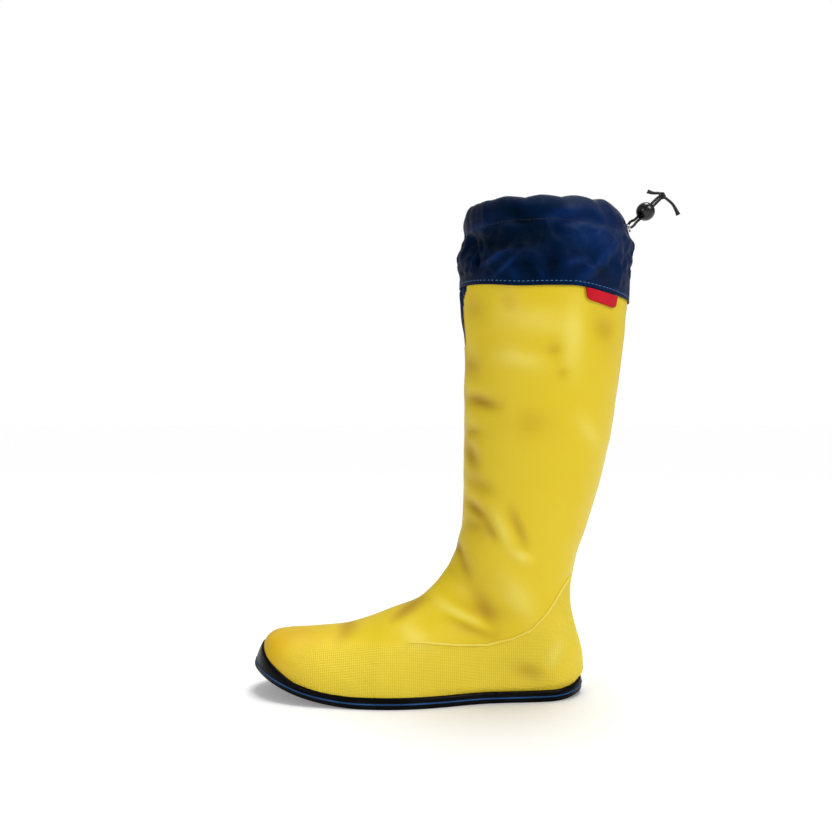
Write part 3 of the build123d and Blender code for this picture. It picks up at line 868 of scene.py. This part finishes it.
# ---- the sole band and its stripe ----
def outline_points(count):
    """Points round the sole's outline, in metres, at even steps."""
    total = len(SOLE_OUTLINE)
    dense = []
    for i in range(total):
        corners = [SOLE_OUTLINE[(i + k) % total] for k in (-1, 0, 1, 2)]
        for step in range(24):
            x, y = [spline(*values, step / 24) for values in zip(*corners)]
            dense.append(Vector((x * MM, y * MM, 0)))
    lengths = [0.0]
    for a, b in zip(dense, dense[1:] + dense[:1]):
        lengths.append(lengths[-1] + (b - a).length)
    points, k = [], 0
    for i in range(count):
        target = lengths[-1] * i / count
        while lengths[k + 1] < target:
            k += 1
        part = (target - lengths[k]) / (lengths[k + 1] - lengths[k])
        points.append(dense[k].lerp(dense[(k + 1) % len(dense)], part))
    return points


def band_edges(count):
    """For each point round the sole: the band's lower and upper edge and the way outwards."""
    edges = []
    ring = outline_points(count)
    for i, low in enumerate(ring):
        run = (ring[(i + 1) % count] - ring[i - 1]).normalized()
        outward = Vector((-run.y, run.x, 0))
        level = band_top(low.x)
        inner = Vector((max(-0.085, min(0.095, low.x)), 0.002, level))
        start = Vector((low.x, low.y, level)) + outward * 0.02
        hit, _, _, _ = SKIN.ray_cast(start, (inner - start).normalized())
        high = hit if hit else Vector((low.x, low.y, level)) - outward * 1.5 * MM
        edges.append((low.copy(), high, outward))
    return edges


BAND_STEPS = 420
EDGES = band_edges(BAND_STEPS)
UP = Vector((0, 0, 1))


def band_surface(i, t):
    """A point of the band's outside: t is 0 at its lower edge and 1 at its upper edge."""
    low, high, outward = EDGES[i % BAND_STEPS]
    foot = low + UP * (ground_line(low.x) + 1.2 * MM)
    head = high + outward * 1.25 * MM
    swell = 0.55 * MM * math.sin(math.pi * t)
    return foot.lerp(head, t) + outward * swell


def make_band():
    profile = [(-0.10, 1.6), (-0.06, 0.7), (0, 0), (0.12, 0), (0.3, 0), (0.5, 0), (0.7, 0), (0.86, 0),
               (0.96, 0.12), (1.01, 0.5), (1.02, 1.1), (0.98, 2.2)]

    def place(u, v):
        i = int(round(u * BAND_STEPS)) % BAND_STEPS
        t, inset = profile[int(round(v * (len(profile) - 1)))]
        outward = EDGES[i][2]
        return band_surface(i, t) - outward * inset * MM

    band = rolled_grid("sole_band_foxing", BAND_STEPS, len(profile) - 1, place)
    face_outwards(band)
    finish_in(band, BLACK_RUBBER, "foot", ["sole_band"])
    points = []
    for i in range(0, BAND_STEPS, 3):
        low = EDGES[i][0]
        height = band_surface(i, 1).z - band_surface(i, 0).z
        points.append(band_surface(i, min(0.6, 2.6 * MM / height)))
    stripe = smooth_tube(cord_curve("sole_band_stripe", points, closed=True), 0.52 * MM)
    finish_in(stripe, BLUE_RUBBER, "foot", ["band_stripe"])


make_band()


# ---- the seam bead ----
def make_bead(side):
    points = []
    radii = []
    for i in range(64):
        x = (-8 + 126 * i / 63) * MM
        if x > 0.1165:
            break
        hit, normal = on_side(SKIN, x, seam_height(x), side)
        points.append(hit + normal * 0.3 * MM)
        radii.append(0.15 + 0.85 * smooth(-0.008, 0.012, x))
    bead = smooth_tube(cord_curve(f"seam_bead_{'outer' if side < 0 else 'inner'}", points, radii), 0.95 * MM)
    # The whole bead is painted lighter, a painted highlight along the seam.
    point_attribute(bead, "painted_highlight", lambda p: 0.55)
    finish_in(bead, YELLOW, "foot", ["seam_bead"])


make_bead(-1)
make_bead(1)


# ---- the cuff ----
def hem_height(x):
    """The hem is higher at the front and drops at the back."""
    front_rise = 4.0 * MM * (1 - smooth(0.034, 0.080, x))
    past = max(0, x - HEM_BEND_X + 0.006)
    return HEM_Z + front_rise - HEM_DROP * past * past / (past + 0.010)


def channel_seam(x):
    """The seam under the cord channel, a little higher in the middle of the side."""
    return CHANNEL_SEAM_Z + 2.8 * MM * math.cos(39 * (max(0.03, min(0.15, x)) - 0.083))


def gathers(turn, lift):
    """How far the gathered cloth stands out, in millimetres, from hem (lift 0) to top (1)."""
    tight = 0.25 + 1.25 * lift**1.3
    slow = 0.9 * math.sin(5 * turn + 1.3 + 2.1 * lift) + 0.7 * math.sin(9 * turn + 0.4 - 2.6 * lift)
    quick = 0.6 * math.sin(15 * turn + 0.9 + 1.2 * math.sin(3 * turn)) + 0.3 * math.sin(26 * turn + 2)
    place = Vector((math.cos(turn) * 4.2, math.sin(turn) * 4.2, lift * 2.4))
    drift = noise.noise(place) * 2.2 + noise.noise(place * 2.3 + Vector((3, 1, 5))) * 1.6
    crumple = 0.9 - abs(noise.noise(place * 1.9 + Vector((7, 2, 1)))) * 3.0
    belly = math.sin(math.pi * min(1.0, lift))
    loose = (drift + 0.7 * crumple) * (0.2 + 0.9 * belly)
    return tight * (slow * 0.5 + quick * 0.6) + loose + 0.5 * drift * lift


def pleat(x, z, side):
    """The deep fold pulled in at the front of the cuff's outer side."""
    if side > 0:
        return 0.0
    t = clamp((z - 0.319) / 0.030)
    centre = 0.0455 - 0.0065 * t
    reach = smooth(0.317, 0.325, z) * (1 - smooth(0.340, 0.352, z))
    return 5.0 * bell(x - centre, 0.0016 + 0.0022 * t) * reach


# Folds of the cuff's outer side, as CREASES, but here a positive height stands out
CUFF_FOLDS = [
    ((47, 321), (66, 331), 2.4, 1.9), ((57, 313), (72, 326), 2.2, 1.8), ((38, 350), (56, 352), 3.0, 1.8),
    ((50, 340), (90, 337), 6.0, -3.4), ((64, 364), (92, 342), 5.5, -2.2), ((112, 344), (142, 338), 9.0, 2.2),
    ((117, 307), (145, 334), 3.8, 2.4), ((106, 319), (124, 324), 2.6, 1.7), ((98, 330), (98, 309), 4.5, -2.2),
    ((76, 322), (88, 309), 4.5, -2.0), ((95, 353), (120, 360), 4.0, 1.6), ((128, 360), (142, 350), 4.0, 1.2),
    ((128, 322), (138, 309), 4.0, -1.6), ((66, 318), (74, 308), 2.6, 1.0), ((86, 318), (92, 308), 2.2, 1.2),
]


def folds(place):
    height = sum(amount * crease(place, start, end, width) for start, end, width, amount in CUFF_FOLDS)
    return height * (1.0 if place.y < 0 else 0.7)


def cuff_place(u, v):
    """Up the outside from the hem, over the top and down the inside of the channel."""
    turn = 2 * math.pi * u
    rise = 0.60
    round_tops = 1.9 * math.sqrt(abs(math.sin(5.5 * turn + 0.6 * math.sin(3 * turn + 1))) + 0.05)
    top = CUFF_TOP_Z - 1.6 * MM + (round_tops + 0.5 * math.sin(13 * turn + 1)) * MM
    base = body_point(station_at_height(HEM_Z), turn)
    seam = channel_seam(base.x)
    hem = hem_height(base.x)
    if v < rise:
        t = v / rise
        z = hem + (seam - hem) * t
        grow = 1.1 + gathers(turn, t) * smooth(0.02, 0.3, t) * (1 - 0.5 * smooth(0.9, 1.0, t))
        grow -= 1.5 * bell(t - 1, 0.05) + 0.35 * bell(t - 0.065, 0.02)
    else:
        t = (v - rise) / (1 - rise)
        bulge = math.sin(math.pi * t * 2) if t < 0.5 else 0
        swing = math.pi * t
        z = seam + (top - seam) * math.sin(swing) ** 0.75
        outer = 1.0 + 1.9 * bulge
        inner = -5.0
        side = 0.5 + 0.5 * math.cos(swing)
        grow = inner + (outer - inner) * side + gathers(turn, 1.0) * (0.75 if t < 0.5 else 0.5)
        grow -= 1.4 * bell(t, 0.08)
    place = body_point(station_at_height(z), turn, grow * MM)
    if v < rise + 0.5 * (1 - rise):
        settled = smooth(0.0, 0.10, v) * (1 - 0.7 * smooth(rise + 0.15, rise + 0.20, v))
        grow += folds(place) * settled - pleat(place.x, z, place.y)
        grow = max(grow, 0.9 - 8 * smooth(0.3155, 0.330, z))
        place = body_point(station_at_height(z), turn, grow * MM)
    return place


def metre_uv(piece, width, length):
    """Scales a 0 to 1 UV map to the cloth's real size in metres."""
    for item in piece.data.uv_layers.active.data:
        item.uv = (item.uv[0] * width, item.uv[1] * length)


def make_cuff():
    cuff = rolled_grid("cuff_gathered_nylon", 360, 90, cuff_place)
    metre_uv(cuff, *CUFF_CUT)
    face_outwards(cuff)
    tree = surface_of(cuff)
    apply_modifier(cuff, "SOLIDIFY", thickness=CUFF_CLOTH, offset=0)
    # Painted shade in the folds' hollows, stronger towards the front; a painted highlight on the folds'
    # crests, stronger towards the back.
    point_attribute(cuff, "painted_shade", lambda p: clamp(0.45 - folds(p) * 0.38 - 5 * (p.x - 0.075)))
    point_attribute(cuff, "painted_highlight", lambda p: clamp(folds(p) * 0.42 + 3 * (p.x - 0.105)))
    finish_in(cuff, NAVY, "shaft", ["cuff_panel", "cuff_channel"])
    return tree


CUFF = make_cuff()


def make_gusset():
    """The folded cloth behind the shaft's front opening; it stands out a little between the edges."""

    def place(u, v):
        turn = (u - 0.5) * 0.80
        z = 0.256 + 0.055 * v
        belly = bell(turn, 0.13) * smooth(0.1, 0.55, v) * (1.7 + 0.9 * v) * (1 - 0.5 * smooth(0.86, 0.97, v))
        fold = 0.4 * math.sin(46 * turn + 7 * v) * smooth(0.1, 0.5, v)
        return body_point(station_at_height(z), turn, (-1.45 + belly + fold) * MM)

    gusset = rolled_grid("front_gusset_nylon", 80, 40, place)
    metre_uv(gusset, *GUSSET_CUT)
    apply_modifier(gusset, "SOLIDIFY", thickness=GUSSET_CLOTH, offset=0)
    finish_in(gusset, NAVY, "shaft", ["front_gusset"])


make_gusset()


# ---- stitches ----
def stitch_row(name, height, pitch, material, replaced):
    """A round of short stitches, one modelled and copied, that lie on the cuff."""
    deselect()
    bpy.ops.mesh.primitive_uv_sphere_add(segments=8, ring_count=6, radius=0.5)
    model = bpy.context.object
    pieces = []
    steps = 720
    ring = []
    for i in range(steps):
        turn = 2 * math.pi * i / steps
        flat = body_point(station_at_height(HEM_Z), turn)
        z = height(flat.x, turn)
        guess = body_point(station_at_height(z), turn, 8 * MM)
        inwards = body_point(station_at_height(z), turn, -8 * MM) - guess
        hit, normal, _, _ = CUFF.ray_cast(guess, inwards.normalized())
        ring.append((hit if hit else guess, -inwards.normalized()))
    travelled, due = 0.0, 0.0
    for i in range(steps):
        here, outward = ring[i]
        ahead = ring[(i + 1) % steps][0]
        travelled += (ahead - here).length
        if travelled < due:
            continue
        due += pitch
        stitch = model.copy()
        stitch.data = model.data.copy()
        bpy.context.collection.objects.link(stitch)
        direction = (ring[(i + 2) % steps][0] - ring[i - 2][0]).normalized()
        side = outward.cross(direction).normalized()
        lean = (direction + side * 0.12).normalized()
        size = (pitch * 0.72, 0.55 * MM, 0.5 * MM)
        stitch.matrix_world = frame_matrix(here + outward * 0.18 * MM, (lean, side, outward), size)
        pieces.append(stitch)
    bpy.data.objects.remove(model)
    deselect()
    for piece in pieces:
        piece.select_set(True)
    bpy.context.view_layer.objects.active = pieces[0]
    bpy.ops.object.join()
    row = bpy.context.object
    row.name = name
    settle(row)
    bpy.ops.object.shade_smooth()
    finish_in(row, material, "shaft", replaced)


def frame_matrix(place, axes, size):
    """Places a unit shape with its axes along three directions, at a size along each."""
    matrix = Matrix([axis * length for axis, length in zip(axes, size)]).transposed().to_4x4()
    matrix.translation = place
    return matrix


stitch_row("hem_stitching", lambda x, turn: hem_height(x) + 3 * MM, 3.4 * MM, THREAD,
           ["hem_thread"])
stitch_row("channel_stitching", lambda x, turn: channel_seam(x) - 0.4 * MM,
           3.0 * MM, DARK_THREAD, ["channel_thread"])


# ---- the label ----
def make_label():
    corners = [Vector((0.1215, 0, 0.3035)), Vector((0.1462, 0, 0.2985)), Vector((0.1447, 0, 0.2898)),
               Vector((0.1228, 0, 0.2952))]

    def place(u, v):
        down = min(1, 2 * v) if v < 0.5 else 2 - 2 * v
        edge_a = corners[0].lerp(corners[1], u)
        edge_b = corners[3].lerp(corners[2], u)
        blunt = 1 - 0.12 * max(0.0, abs(2 * u - 1) - 0.8) * 5 * smooth(0.5, 1.0, down)
        flat = edge_a.lerp(edge_b, down * blunt)
        hit, normal = on_side(SKIN, flat.x, flat.z, -1)
        layer = 2.0 if v < 0.5 else 1.0
        round_off = 0.5 * math.sqrt(max(0, 1 - (2 * v - 1) ** 2)) if down > 0.9 else 0
        wave = 0.2 * math.sin(9 * u)
        return hit + normal * (layer - round_off * (layer - 1.5) + wave) * MM

    label = rolled_grid("hem_label_fold", 30, 24, place)
    metre_uv(label, *LABEL_CUT)
    apply_modifier(label, "SOLIDIFY", thickness=CUFF_CLOTH, offset=0)
    finish_in(label, RED, "shaft", ["hem_label"])


make_label()

# ---- the hard parts keep their own shapes ----
dress(["outsole"], BLACK_RUBBER)
dress(["insole"], INSOLE)
dress(["insole_board"], BOARD)
dress(["lock_body", "lock_plunger"], PLASTIC)
dress(["lock_spring"], STEEL)
dress(["eyelet_near", "eyelet_far", "eyelet_washer_near", "eyelet_washer_far"], EYELET)
dress(["drawcord_loop"], CORD)


# ---- floor and light ----
def make_studio():
    deselect()
    bpy.ops.mesh.primitive_plane_add(size=40, location=(0, 0, 0))
    floor = bpy.context.object
    floor.name = "studio_floor"
    material, tree, shader = new_material("studio_paper", (0.95, 0.95, 0.95), 0.9)
    shader.inputs["Specular IOR Level"].default_value = 0.1
    shader.inputs["Emission Color"].default_value = (1, 1, 1, 1)
    shader.inputs["Emission Strength"].default_value = 0.18
    floor.data.materials.append(material)
    world = bpy.data.worlds.new("studio_world")
    world.use_nodes = True
    tree = world.node_tree
    seen = tree.nodes["Background"]
    seen.inputs[0].default_value = (1, 1, 1, 1)
    fill = add(tree, "ShaderNodeBackground")
    fill.inputs[0].default_value = (1, 1, 1, 1)
    fill.inputs[1].default_value = 0.34
    either = add(tree, "ShaderNodeMixShader")
    tree.links.new(add(tree, "ShaderNodeLightPath").outputs["Is Camera Ray"], either.inputs[0])
    tree.links.new(fill.outputs[0], either.inputs[1])
    tree.links.new(seen.outputs[0], either.inputs[2])
    tree.links.new(either.outputs[0], tree.nodes["World Output"].inputs[0])
    bpy.context.scene.world = world
    suns = [("window_light", (-0.95, 0.95, -1.05), 1.62, 24), ("roof_light", (-0.2, -0.14, -1.3), 1.7, 26)]
    for name, way, strength, spread in suns:
        sun = bpy.data.lights.new(name, "SUN")
        sun.energy = strength
        sun.angle = math.radians(spread)
        holder = bpy.data.objects.new(name, sun)
        holder.rotation_euler = Vector(way).to_track_quat("-Z", "Y").to_euler()
        bpy.context.collection.objects.link(holder)
        if name == "window_light":
            unlit = bpy.data.collections.new("not_lit_by_window")
            unlit.objects.link(floor)
            holder.light_linking.receiver_collection = unlit
            unlit.collection_objects[0].light_linking.link_state = "EXCLUDE"
    lamps = [
        ("side_light", (-1.0, -1.1, 0.7), 0.5, 3.5),
        ("back_light", (0.3, 1.2, 1.3), 1.2, 3),
    ]
    for name, place, size, energy in lamps:
        data = bpy.data.lights.new(name, "AREA")
        data.size = size
        data.energy = energy
        lamp = bpy.data.objects.new(name, data)
        lamp.location = place
        aim = Vector((0, 0, 0.15)) - Vector(place)
        lamp.rotation_euler = aim.to_track_quat("-Z", "Y").to_euler()
        bpy.context.collection.objects.link(lamp)


make_studio()
